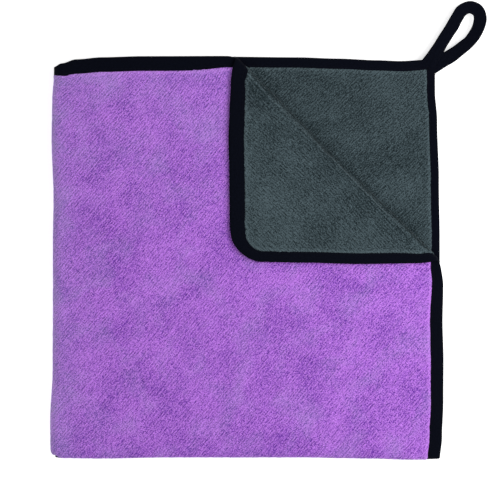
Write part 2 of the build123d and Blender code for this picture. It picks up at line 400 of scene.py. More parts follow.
def settle(panel, points, lie):
    """Gives folded points the towel's soft outline and the slow waves of its upper layers."""
    x, y, z = points.T
    out_x, out_y = outline_shift(panel, x, y, z)
    rise = lie * layer_wave(x, y) * np.clip(z / (4 * PITCH), 0, 1)
    # The folded corner is squashed round. It is kept small, so the open towel has no hole there.
    short_x, short_y = ROUNDING - (x - LEFT), ROUNDING - (y - NEAR)
    square = np.maximum(np.maximum(short_x, short_y), 1e-6)
    squash = np.where((short_x > 0) & (short_y > 0), square / np.hypot(short_x, short_y), 1)
    x = np.where(squash < 1, LEFT + ROUNDING - short_x * squash, x)
    y = np.where(squash < 1, NEAR + ROUNDING - short_y * squash, y)
    return np.stack([x + out_x, y + out_y, z + rise], axis=1)


def free_edge(panel, flat):
    """How far flat points are from the panel's free edges, and how wide the tape is there."""
    in_x, in_y = RIGHT - flat[:, 0], TOP - flat[:, 1]
    inset = np.minimum(in_x, in_y)
    corner = (in_x < panel.corner) & (in_y < panel.corner)
    round_in = panel.corner - np.hypot(panel.corner - in_x, panel.corner - in_y)
    share = ease(0.5 + (in_x - in_y) / (2 * max(panel.corner, 6)))
    width = panel.right_tape + (panel.top_tape - panel.right_tape) * share
    return np.where(corner, round_in, inset), width


def open_towel(panel, flat):
    """Flat points as they lie on the whole open towel, in metres, for patterns to follow."""
    x, y = flat[:, 0], flat[:, 1]
    if panel.body in ("upper_inner_panel", "top_panel", "corner_flap"):
        x = 2 * (LEFT + WIDE_TURN * (1 - TURN_LENGTH)) - x
    if panel.body in ("lower_inner_panel", "upper_inner_panel"):
        y = 2 * (NEAR + TIGHT_TURN * (1 - TURN_LENGTH)) - y
    return np.stack([x, y], axis=1) * MM


# Making meshes


def make_piece(name, points, faces, uv, material, shades=None, outward=False):
    """A mesh object from points in millimetres, its place in its mesh.

    shades holds numbers for its points, by attribute name, for its material to read. outward
    turns its faces outwards, for a shape whose faces aren't made that way round.
    """
    mesh = bpy.data.meshes.new(name)
    mesh.from_pydata((np.asarray(points) * MM).tolist(), [], faces)
    if uv is not None:
        layer = mesh.uv_layers.new(name="cloth")
        index = np.zeros(len(mesh.loops), np.int32)
        mesh.loops.foreach_get("vertex_index", index)
        layer.data.foreach_set("uv", np.asarray(uv)[index].astype(np.float32).ravel())
    for shade, values in (shades or {}).items():
        layer = mesh.attributes.new(shade, "FLOAT", "POINT")
        layer.data.foreach_set("value", np.asarray(values, np.float32))
    work = bmesh.new()
    work.from_mesh(mesh)
    bmesh.ops.remove_doubles(work, verts=work.verts, dist=2e-6)
    bmesh.ops.dissolve_degenerate(work, edges=work.edges, dist=1e-6)
    if outward:
        bmesh.ops.recalc_face_normals(work, faces=work.faces)
    work.to_mesh(mesh)
    work.free()
    piece = bpy.data.objects.new(name, mesh)
    bpy.context.collection.objects.link(piece)
    bpy.ops.object.select_all(action="DESELECT")
    piece.select_set(True)
    bpy.context.view_layer.objects.active = piece
    bpy.ops.object.shade_smooth()
    mesh.materials.append(material)
    return piece


def corner_map(panel, flat):
    """Rounds the free corner of a square lattice, keeping its rows evenly spread."""
    size = panel.corner - TUCK
    if size <= 0:
        return flat
    centre = np.array([RIGHT - panel.corner, TOP - panel.corner])
    part = np.clip((flat - centre) / size, 0, 1)
    both = (flat[:, 0] > centre[0]) & (flat[:, 1] > centre[1])
    disc = part * np.sqrt(1 - part[:, ::-1] ** 2 / 2)
    return np.where(both[:, None], centre + disc * size, flat)


def lattice_lines(edge, start, reach, step):
    """Places of lattice lines from a free edge in to a fold's outermost line."""
    straight = np.arange(edge, start + 0.4 * step, -step)
    turn = max(3, round(TURN_LENGTH * reach / step))
    return np.concatenate([straight, start - TURN_LENGTH * reach * np.arange(turn + 1) / turn])


def plain_blocks(plain):
    """First cells of the square blocks, BACK_BLOCK cells wide, that are plain all over."""
    wide, high = plain.shape[0] + 1, plain.shape[1] + 1
    return [
        (i, j)
        for i in range(0, wide - BACK_BLOCK, BACK_BLOCK)
        for j in range(0, high - BACK_BLOCK, BACK_BLOCK)
        if plain[i : i + BACK_BLOCK, j : j + BACK_BLOCK].all()
    ]


def lattice(panel, step):
    """A panel's flat cloth: points, the faces of its fine face and its back, its rim and crease.

    The lattice's rows run in from the free edges, so the crease passes through its diagonals.
    """
    crease = None
    if panel.turned:
        leg = np.arange(0, FLAP_LEG / step + 1) * -step
        rows = [leg + edge - TUCK for edge in (RIGHT, TOP)]
    else:
        rows = [
            lattice_lines(RIGHT - TUCK, LEFT + WIDE_TURN, WIDE_TURN, step),
            lattice_lines(TOP - TUCK, NEAR + TIGHT_TURN, TIGHT_TURN, step),
        ]
    many = [len(r) for r in rows]
    a, b = np.meshgrid(np.arange(many[0] - 1), np.arange(many[1] - 1), indexing="ij")
    whole = np.ones(a.shape, bool)
    half = np.zeros(a.shape, bool)
    if panel.creased:
        last = round((RIGHT + TOP - 2 * TUCK - crease_line(panel)) / step)
        crease = RIGHT + TOP - 2 * TUCK - last * step
        whole = a + b + 2 <= last if panel.turned else a + b >= last
        half = a + b + 1 == last

    def number(i, j):
        return i * many[1] + j

    quads = np.stack([number(a, b), number(a + 1, b), number(a + 1, b + 1), number(a, b + 1)], -1)
    threes = quads[..., [0, 1, 3]] if panel.turned else quads[..., [1, 2, 3]]
    front = quads[whole].tolist() + threes[half].tolist()

    # The back is plain, so whole blocks of it are one face, unless they turn round a fold
    turning = 3 + round(TURN_LENGTH * WIDE_TURN / step)
    plain = whole & (a < many[0] - 1 - turning) & (b < many[1] - 1 - turning)
    if panel.creased:
        plain &= np.abs(a + b - last) > CREASE_FINE / step
    blocks = plain_blocks(plain)
    back_fine = whole.copy()
    for i, j in blocks:
        back_fine[i : i + BACK_BLOCK, j : j + BACK_BLOCK] = False
    back = quads[back_fine].tolist() + threes[half].tolist()
    used = {v for face in back for v in face}
    ways = dict.fromkeys(way for face in front for way in zip(face, face[1:] + face[:1]))
    rim = [way for way in ways if way[::-1] not in ways]
    used |= {v for edge in rim for v in edge}
    # A block's ring has its corners, and the points that a finer neighbour or the rim uses
    side = range(BACK_BLOCK)
    for i, j in blocks:
        far_i, far_j = i + BACK_BLOCK, j + BACK_BLOCK
        ring = [(i + k, j) for k in side] + [(far_i, j + k) for k in side]
        ring += [(far_i - k, far_j) for k in side] + [(i, far_j - k) for k in side]
        corners = {(i, j), (far_i, j), (far_i, far_j), (i, far_j)}
        back.append([number(*p) for p in ring if p in corners or number(*p) in used])
    grid = np.stack(np.meshgrid(*rows, indexing="ij"), -1).reshape(-1, 2)
    return corner_map(panel, grid), front, back, rim, crease


def face_normals(points, faces):
    """Smooth unit normals at the points of a fine face."""
    total = np.zeros_like(points)
    for size in (3, 4):
        some = np.array([f for f in faces if len(f) == size])
        if len(some):
            p = points[some]
            across = np.cross(p[:, 2] - p[:, 0], p[:, -1] - p[:, 1])
            for k in range(size):
                np.add.at(total, some[:, k], across)
    return total / np.maximum(np.linalg.norm(total, axis=1), 1e-12)[:, None]


def turn_share(panel, flat, crease):
    """How far round its main fold, cross fold and crease each flat point is, from 0 to 1."""
    main = cross = creased = np.zeros(len(flat))
    if panel.cross:
        main = np.clip((LEFT + WIDE_TURN - flat[:, 0]) / (TURN_LENGTH * WIDE_TURN), 0, 1)
        cross = np.clip((NEAR + TIGHT_TURN - flat[:, 1]) / (TURN_LENGTH * TIGHT_TURN), 0, 1)
    if crease is not None:
        away = np.abs(flat.sum(1) - crease) / ROOT2
        creased = np.clip(1 - away / (TURN_LENGTH * TIGHT_TURN), 0, 1)
    return main, cross, creased


def pile_height(open_mm, sizes, slant):
    """Height of the napped pile over the open towel: tufts in broken diagonal ribs."""
    u, v = open_mm.T
    turn = math.radians(slant)
    across = -u * math.sin(turn) + v * math.cos(turn)
    length = u * math.cos(turn) + v * math.sin(turn)
    wander = 1.2 * lumps(open_mm, 11, 1) + 0.7 * lumps(open_mm, 4.2, 2)
    rib = 0.5 + 0.5 * lumps(np.stack([across + wander, length / 2.6], 1), 0.55 * sizes.rib, 3)
    clump = 0.5 + 0.5 * lumps(open_mm, 1.3, 8)
    nap = 0.5 + 0.5 * lumps(open_mm, 17, 4)
    return sizes.tuft * (0.3 * rib + 0.45 * clump + 0.25 * nap)


def painted_fold_shade(panel, flat):
    """Painted shade: below zero it darkens the pile towards its roots' colour.

    It darkens the flap towards the crease, and the panel that the flap uncovers all over and most
    beside the crease, where the flap's shadow falls. It darkens the other panels along the cross
    fold.
    """
    from_crease = np.abs(flat.sum(1) - CREASE_SUM) / ROOT2
    if panel.turned:
        return -0.95 * np.exp(-from_crease / 28)
    if panel.name == "upper_inner":
        return -0.48 - 0.5 * np.exp(-from_crease / 6)
    return -0.45 * np.exp(-np.maximum(flat[:, 1] - NEAR, 0) / 9)


def fold_sheen_and_far_paling(flat, open_mm):
    """How much paler colour is mixed in: painted sheen round the wide fold, and paler in patches
    towards the far edge.
    """
    fold_sheen = np.exp(-np.maximum(flat[:, 0] - LEFT, 0) / 12)
    far_paling = 0.7 * np.exp((flat[:, 1] - TOP) / 45) * (0.8 + 0.5 * lumps(open_mm, 26, 9))
    return np.maximum(fold_sheen, far_paling)


RAGGED = 1.3  # over what width the pile ends at the tape
UNDER_TAPE = 0.55  # how far it sinks under the tape, as a share of its ply's thickness


def make_fleece(panel, purple, step, sizes, material, slant):
    """One ply of a panel: napped pile on its face, flat where it backs the other ply."""
    flat, front, back, rim, crease = lattice(panel, step)
    up = purple == panel.purple_up
    face_z = panel.low + (CLOTH if up else 0.0)
    main, cross, creased = turn_share(panel, flat, crease)
    outside, inside = (
        settle(panel, fold(panel, flat, np.full(len(flat), z), crease), sizes.lie)
        for z in (face_z, panel.low + PLY)
    )
    if not up:
        front = [f[::-1] for f in front]
        back = [f[::-1] for f in back]
        rim = [(w, v) for v, w in rim]
    normal = face_normals(outside, front)
    # The pile stands on a fold's outer side and is pressed flat on its inner side
    proud = [cross, main * panel.wide] if purple else [creased]
    quiet = [creased, main * (not panel.wide)] if purple else [cross, main]
    rise = ease(np.max(proud, axis=0))
    calm = np.prod([1 - ease(share * 1.4) for share in quiet], axis=0)
    open_mm = open_towel(panel, flat) / MM
    height = calm * (pile_height(open_mm, sizes, slant) - sizes.sink * (1 - rise))
    # The pile ends raggedly at the tape, swells beside it, and lies sunk and bare under it
    inset, width = free_edge(panel, flat)
    ragged = 0.45 * lumps(open_mm, 1.7, 5) + 0.35 * lumps(open_mm, 4.0, 6)
    past = (inset - width - ragged) / RAGGED
    cover = ease(past + 0.5)
    swell = 0.28 * np.exp(-((past - 1.2) ** 2) / 1.8)
    thick = np.linalg.norm(outside - inside, axis=1)
    fade = 1 - ease((np.max([main, cross, creased], axis=0) - 0.8) / 0.2)
    height = cover * fade * (height + calm * swell) - (1 - cover) * UNDER_TAPE * thick
    outside = outside + normal * height[:, None]
    # Lighter pile tips where the pile ends at the tape, and a painted highlight along the crease's
    # ridge. The painted shade by the folds and the crease is added to them.
    tips = np.exp(-((past - 0.7) ** 2) / 1.2) + 1.3 * np.exp(-(((creased - 0.12) / 0.12) ** 2))
    shades = {
        "pile_tips_and_painted_light": tips + painted_fold_shade(panel, flat),
        "pile_sheen_and_paling": fold_sheen_and_far_paling(flat, open_mm) * bool(purple and panel.cross),
    }
    many = len(flat)
    faces = front + [[v + many for v in f[::-1]] for f in back]
    faces += [[w, v, v + many, w + many] for v, w in rim]
    kept = np.unique(np.concatenate([np.array(f) for f in faces]))
    number = np.full(2 * many, -1)
    number[kept] = np.arange(len(kept))
    faces = [number[f].tolist() for f in faces]
    points = np.concatenate([outside, inside])[kept]
    uv = np.tile(open_towel(panel, flat), (2, 1))[kept]
    shades = {shade: np.tile(values, 2)[kept] for shade, values in shades.items()}
    kind = "purple" if purple else "grey"
    piece = make_piece(f"{panel.name}_fleece_{kind}", points, faces, uv, material, shades)
    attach(piece, panel.body)
    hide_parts(f"{panel.name}_{kind}_ply")
    return piece


# The edge tape's section: share of the tape's width in from the edge, share of the cloth's height
TAPE_OUTSIDE = (
    (1.0, 0.925), (0.95, 0.95), (0.88, 0.95), (0.83, 0.925), (0.78, 0.95), (0.68, 0.975),
    (0.5, 0.99), (0.32, 0.985), (0.18, 0.965), (0.08, 0.91), (0.025, 0.81), (0.0, 0.66), (0.0, 0.5),
)
TAPE_INSIDE = ((1.0, 0.80), (0.83, 0.80), (0.5, 0.85), (0.18, 0.80), (0.09, 0.68), (0.08, 0.5))
SEAM_SHARE = 0.83  # how far in from the edge the seam is, as a share of the tape's width
TAPE_PITCH, SEAM_PITCH, LOOP_PITCH, LOOP_SEAM_PITCH = 1.5, 1.0, 0.9, 0.5  # between their points
PUCKER_PITCH, LOOP_PUCKER_PITCH = 3.3, 3.1  # from one of a seam's puckers to the next
SEAM_GROOVE, SEAM_RISE = 0.075, 0.10  # the seam's groove, a share of the cloth, and rise from it
AHEAD = 0.8  # how far ahead and back a stitch looks for its direction


def tape_section():
    """The closed section of the tape: round the outside from its top lip, back along the inside."""
    outside = list(TAPE_OUTSIDE) + [(d, 1 - h) for d, h in TAPE_OUTSIDE[-2::-1]]
    inside = list(TAPE_INSIDE) + [(d, 1 - h) for d, h in TAPE_INSIDE[-2::-1]]
    return np.array(outside + inside[::-1])


def edge_runs(panel, pitch):
    """The panel's free edges as runs of (side, place): far edge, corner and right edge."""
    crease = crease_line(panel)
    far_start = crease - TOP if panel.turned else LEFT + WIDE_TURN * (1 - TURN_LENGTH)
    far_end = crease - TOP if panel.name == "top" else RIGHT - panel.corner
    right_start = crease - RIGHT if panel.name == "top" else TOP - panel.corner
    right_end = crease - RIGHT if panel.turned else NEAR + TIGHT_TURN * (1 - TURN_LENGTH)

    def spaced(low, high, spacing):
        return np.linspace(low, high, max(2, round(abs(high - low) / spacing) + 1))

    far = [("far", place) for place in spaced(far_start, far_end, pitch)]
    right = [("right", place) for place in spaced(right_start, right_end, pitch)]
    if panel.name == "top":
        return [far, right]
    arc = spaced(90, 0, math.degrees(pitch / max(panel.corner, 6)))
    return [far + [("corner", angle) for angle in arc[1:-1]] + right]


def on_edge(panel, side, place, share):
    """Flat place of a point that lies a share of the tape's width in from a free edge."""
    far_in, right_in = share * panel.top_tape, share * panel.right_tape
    if side == "corner":
        turn = math.radians(place)
        inset = right_in + (far_in - right_in) * float(ease(place / 90))
        radius = max(panel.corner - inset, 0)
        centre_x = RIGHT - (panel.corner if radius else right_in)
        centre_y = TOP - (panel.corner if radius else far_in)
        return centre_x + radius * math.cos(turn), centre_y + radius * math.sin(turn)
    far = side == "far"
    inset, other_inset, edge, other_edge = (
        (far_in, right_in, TOP, RIGHT) if far else (right_in, far_in, RIGHT, TOP)
    )
    if panel.creased:
        # By the crease the tape's inner side runs on, so it ends along the crease
        from_crease = abs(place - (crease_line(panel) - edge))
        place += inset * max(0.0, 1 - from_crease / (30 if panel.turned else 25))
    else:
        place = min(place, other_edge - max(panel.corner, other_inset))
    return (place, edge - inset) if far else (edge - inset, place)


def lengths_along(line):
    """How far along a line of points each of them is."""
    return np.concatenate([[0], np.cumsum(np.linalg.norm(np.diff(line, axis=0), axis=1))])


def make_tape(panel, sizes, material):
    """The binding along a panel's free edges, puckered a little by its seam."""
    section = tape_section()
    many = len(section)
    at_seam = np.exp(-(((section[:, 0] - SEAM_SHARE) / 0.12) ** 2))
    around = np.concatenate([[0], np.cumsum(np.abs(np.diff(section[:, 0])))]) * panel.top_tape
    points, faces, uv, start = [], [], [], 0
    for run in edge_runs(panel, TAPE_PITCH):
        edge = np.array([on_edge(panel, side, place, 0.0) for side, place in run])
        for (side, place), length in zip(run, lengths_along(edge)):
            flat = np.array([on_edge(panel, side, place, share) for share in section[:, 0]])
            pucker = 0.010 * math.sin(2 * math.pi * length / PUCKER_PITCH) * at_seam
            soft = 0.016 * lumps(flat, 9, 7)
            height = 0.5 + (section[:, 1] - 0.5) * (1 + 2 * (soft + pucker))
            folded = fold(panel, flat, panel.low + CLOTH * np.clip(height, 0.0, 1.0))
            points.append(settle(panel, folded, sizes.lie))
            uv.append(np.stack([np.full(many, length), around], 1) * MM)
        last = start + (len(run) - 1) * many
        for ring in range(start, last, many):
            for k in range(many):
                a, b = ring + k, ring + (k + 1) % many
                faces.append([a, a + many, b + many, b])
        faces.append([start + k for k in range(many)])
        faces.append([last + k for k in reversed(range(many))])
        start = last + many
    name = f"{panel.name}_edge_binding"
    piece = make_piece(name, np.concatenate(points), faces, np.concatenate(uv), material)
    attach(piece, panel.body)
    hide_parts(f"{panel.name}_edge_tape")
    return piece


def stitch_shape():
    """One stitch as a small bead of thread, long in x, from a sphere: points and faces."""
    bpy.ops.object.select_all(action="DESELECT")
    bpy.ops.mesh.primitive_uv_sphere_add(segments=8, ring_count=6, radius=0.5)
    bead = bpy.context.object
    points = np.array([v.co for v in bead.data.vertices])
    faces = [list(p.vertices) for p in bead.data.polygons]
    bpy.data.objects.remove(bead)
    # The sphere's faces come in no fixed order, so they are put in one
    faces = sorted(min(f[k:] + f[:k] for k in range(len(f))) for f in faces)
    return points[:, [2, 0, 1]], faces


def dive(bead, thread, depth):
    """Heights of a stitch's points, which sink by depth where its ends enter the cloth."""
    return bead[:, 2] * thread - depth * (2 * bead[:, 0]) ** 2


def make_stitches(name, beads, bead_faces, material):
    """A piece of stitches, from each one's points and whether it is mirrored by its place."""
    faces = []
    for k, (points, mirrored) in enumerate(beads):
        for face in bead_faces:
            face = [v + k * len(points) for v in face]
            faces.append(face[::-1] if mirrored else face)
    return make_piece(name, np.concatenate([points for points, _ in beads]), faces, None, material)


def make_seam(panel, sizes, material):
    """The lockstitches that hold the tape, on both faces of the panel."""
    bead, bead_faces = stitch_shape()
    beads = []
    every = sizes.stitch + sizes.stitch_gap
    height = dive(bead, sizes.thread, 0.22)
    for run in edge_runs(panel, SEAM_PITCH):
        line = np.array([on_edge(panel, side, place, SEAM_SHARE) for side, place in run])
        lengths = lengths_along(line)
        for k in range(int(lengths[-1] / every)):
            at = (k + 0.5) * every
            here, ahead, back = (
                np.array([np.interp(place, lengths, line[:, c]) for c in (0, 1)])
                for place in (at, at + AHEAD, at - AHEAD)
            )
            way = (ahead - back) / max(np.linalg.norm(ahead - back), 1e-6)
            side = np.array([-way[1], way[0]])
            flat = here + bead[:, :1] * sizes.stitch * way + bead[:, 1:2] * sizes.thread * side
            for face, out in ((0.0, -1), (CLOTH, 1)):
                seam_z = panel.low + face + out * (height + SEAM_RISE - SEAM_GROOVE * CLOTH)
                beads.append((settle(panel, fold(panel, flat, seam_z), sizes.lie), out < 0))
    piece = make_stitches(f"{panel.name}_seam_stitches", beads, bead_faces, material)
    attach(piece, panel.body)
    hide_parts(f"{panel.name}_seam_thread")
    return piece


# The loop's centre line, from its sewn end in the corner up one side, over and back down
LOOP_LINE = (
    (140.0, 148.2, 10.3), (145.0, 154.9, 10.3), (149.2, 161.2, 10.2), (152.8, 167.4, 10.1),
    (156.9, 173.8, 10.0), (160.9, 180.0, 9.9), (164.4, 186.4, 9.9), (168.2, 192.0, 9.9),
    (174.4, 194.7, 9.9), (180.4, 192.2, 9.8), (182.6, 186.6, 9.8), (181.5, 180.1, 9.7),
    (178.5, 173.8, 9.6), (174.0, 167.9, 9.5), (167.4, 162.4, 9.4), (159.8, 156.8, 9.3),
    (151.2, 152.0, 9.3), (145.6, 148.6, 9.3), (140.2, 145.6, 9.3),
)
# Half of the loop tape's section, rounded at its edge and dented by its edge seam
LOOP_SECTION = (
    (0.0, 0.47), (0.2, 0.47), (0.34, 0.45), (0.38, 0.38), (0.42, 0.45), (0.46, 0.36), (0.49, 0.2),
    (0.5, 0.0),
)
LOOP_SEAM = 0.38  # how far from the loop tape's middle its seams are, as a share of its width
LOOP_CLOTH = (9.0, 1.5)  # width and thickness that the loop tape's pattern is laid round
LOOP_ROLL = 0.34  # how far the loop's tape rolls over at its top, in radians


def smooth_line(knots, pitch):
    """Points about pitch apart on a smooth curve through knots, and how far along they are."""
    knots = np.array(knots, float)
    ends = np.concatenate([[2 * knots[0] - knots[1]], knots, [2 * knots[-1] - knots[-2]]])
    line = []
    for i in range(1, len(ends) - 2):
        a, b, c, d = ends[i - 1 : i + 3]
        slope, bow, twist = c - a, 2 * a - 5 * b + 4 * c - d, 3 * b - a - 3 * c + d
        for t in np.arange(0, 1, 0.05):
            line.append(0.5 * (2 * b + slope * t + bow * t**2 + twist * t**3))
    line = np.array(line + [knots[-1]])
    lengths = lengths_along(line)
    at = np.linspace(0, lengths[-1], round(lengths[-1] / pitch) + 1)
    return np.stack([np.interp(at, lengths, line[:, k]) for k in range(3)], 1), at


def loop_frame(line, at):
    """Directions along, across and up at each point of the loop, which rolls over at its top."""
    way = np.gradient(line, axis=0)
    way /= np.linalg.norm(way, axis=1)[:, None]
    flat_across = np.stack([-way[:, 1], way[:, 0], np.zeros(len(way))], 1)
    flat_across /= np.linalg.norm(flat_across, axis=1)[:, None]
    up = np.cross(way, flat_across)
    roll = LOOP_ROLL * np.sin(math.pi * at / at[-1]) ** 2
    across = flat_across * np.cos(roll)[:, None] + up * np.sin(roll)[:, None]
    return way, across, np.cross(way, across)


def bend_over_swing(piece):
    """Bakes a piece's placement into its mesh, for the loop's pieces just outside the towel's
    corner.
    """
    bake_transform(piece)


def make_loop(sizes, material):
    """The hanging loop of doubled tape, with both its ends in the towel's corner."""
    half = list(LOOP_SECTION)
    upper = half[::-1] + [(-a, u) for a, u in half[1:]]
    section = np.array(upper + [(a, -u) for a, u in upper[-2:0:-1]])
    line, at = smooth_line(LOOP_LINE, LOOP_PITCH)
    _, across, up = loop_frame(line, at)
    points, faces, many = [], [], len(section)
    for i, middle in enumerate(line):
        # Its width wavers and spreads at the sewn ends, and its thickness puckers at the seams
        soft = 1 + 0.02 * math.sin(at[i] / 5.3) + 0.012 * math.sin(at[i] / 1.9)
        soft += 0.2 * float(ease(1 - (at[-1] - at[i]) / 34)) + 0.08 * float(ease(1 - at[i] / 26))
        pucker = 1 + 0.05 * math.sin(2 * math.pi * at[i] / LOOP_PUCKER_PITCH)
        points.append(
            middle
            + across[i] * (section[:, :1] * sizes.loop_width * soft)
            + up[i] * (section[:, 1:] * sizes.loop_thickness * pucker)
        )
        if i:
            for k in range(many):
                a, b = (i - 1) * many + k, (i - 1) * many + (k + 1) % many
                faces.append([a, b, b + many, a + many])
    faces.append(list(reversed(range(many))))
    faces.append([(len(line) - 1) * many + k for k in range(many)])
    girth = lengths_along(section * LOOP_CLOTH)
    uv = np.stack([np.repeat(at, many), np.tile(girth, len(line))], 1) * MM
    points = np.concatenate(points)
    piece = make_piece("hanging_loop_tape", points, faces, uv, material, outward=True)
    bend_over_swing(piece)
    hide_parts("hanging_loop", "loop_sewn_ends")
    return piece


def make_loop_seams(sizes, material):
    """The seams along both edges of the loop's tape, on both its faces."""
    bead, bead_faces = stitch_shape()
    line, at = smooth_line(LOOP_LINE, LOOP_SEAM_PITCH)
    way, across, up = loop_frame(line, at)
    beads = []
    every = sizes.stitch + sizes.stitch_gap
    height = dive(bead, sizes.thread, 0.16)[:, None]
    for k in range(int(at[-1] / every)):
        i = min(int((k + 0.5) * every / LOOP_SEAM_PITCH), len(line) - 1)
        for edge in (-LOOP_SEAM, LOOP_SEAM):
            for face in (-1, 1):
                shape = line[i] + across[i] * edge * sizes.loop_width
                shape = shape + up[i] * face * 0.42 * sizes.loop_thickness
                shape = shape + bead[:, :1] * sizes.stitch * way[i]
                shape = shape + face * (bead[:, 1:2] * sizes.thread * across[i] + height * up[i])
                beads.append((shape, False))
    seams = make_stitches("hanging_loop_seam_stitches", beads, bead_faces, material)
    bend_over_swing(seams)
    return seams


TACK_STITCHES, TACK_PITCH, TACK_LENGTH, TACK_LEAN = 11, 0.85, 3.4, 0.35
TACK_BACK, TACK_ASIDE = 10.5, -0.6  # from the loop's joint to the tack's middle


def make_bar_tack(sizes, material):
    """The bar tack that holds the loop's ends: a short zigzag across them, on both faces."""
    bead, bead_faces = stitch_shape()
    root, panel = JOINT_AT["loop_swing"], PANELS[2]
    out, side = np.array([1, 1]) / ROOT2, np.array([-1, 1]) / ROOT2
    middle = np.array([root.x, root.y]) - out * TACK_BACK + side * TACK_ASIDE
    beads = []
    height = dive(bead, sizes.thread, 0.2)
    for k in range(TACK_STITCHES):
        centre = middle + side * (k - TACK_STITCHES // 2) * TACK_PITCH
        length = TACK_LENGTH * out + (TACK_LEAN if k % 2 else -TACK_LEAN) * side
        run = centre + bead[:, :1] * length + bead[:, 1:2] * sizes.thread * side
        for face, low in ((1, panel.low + CLOTH - 0.02), (-1, panel.low + 0.02)):
            shape = np.column_stack([run, low + face * (height + 0.05)])
            beads.append((settle(panel, shape, sizes.lie), face < 0))
    tack = make_stitches("loop_bar_tack_stitches", beads, bead_faces, material)
    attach(tack, "upper_inner_panel")
    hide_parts("loop_bar_tack")


# Finishes


MIX_A, MIX_B, MIX_OUT = 6, 7, 2  # the sockets that a Mix node has for colours
WAVE_ONCE = 2 * math.pi / 20  # a Wave Texture's scale that repeats once in each unit


def add_node(tree, kind, inputs=None, **settings):
    """Adds a node to a material, with its settings, and its inputs as values or as links."""
    node = tree.nodes.new(kind)
    for name, value in settings.items():
        setattr(node, name, value)
    for name, value in (inputs or {}).items():
        if isinstance(value, bpy.types.NodeSocket):
            tree.links.new(value, node.inputs[name])
        else:
            node.inputs[name].default_value = value
    return node


def new_material(name):
    """A material with no nodes yet, and its node tree."""
    material = bpy.data.materials.new(name)
    material.use_nodes = True
    material.node_tree.nodes.clear()
    return material, material.node_tree


def tone(tint, share=1.0):
    """A colour at a share of its brightness, as a node's colour socket takes it."""
    return (*[share * part for part in tint], 1)


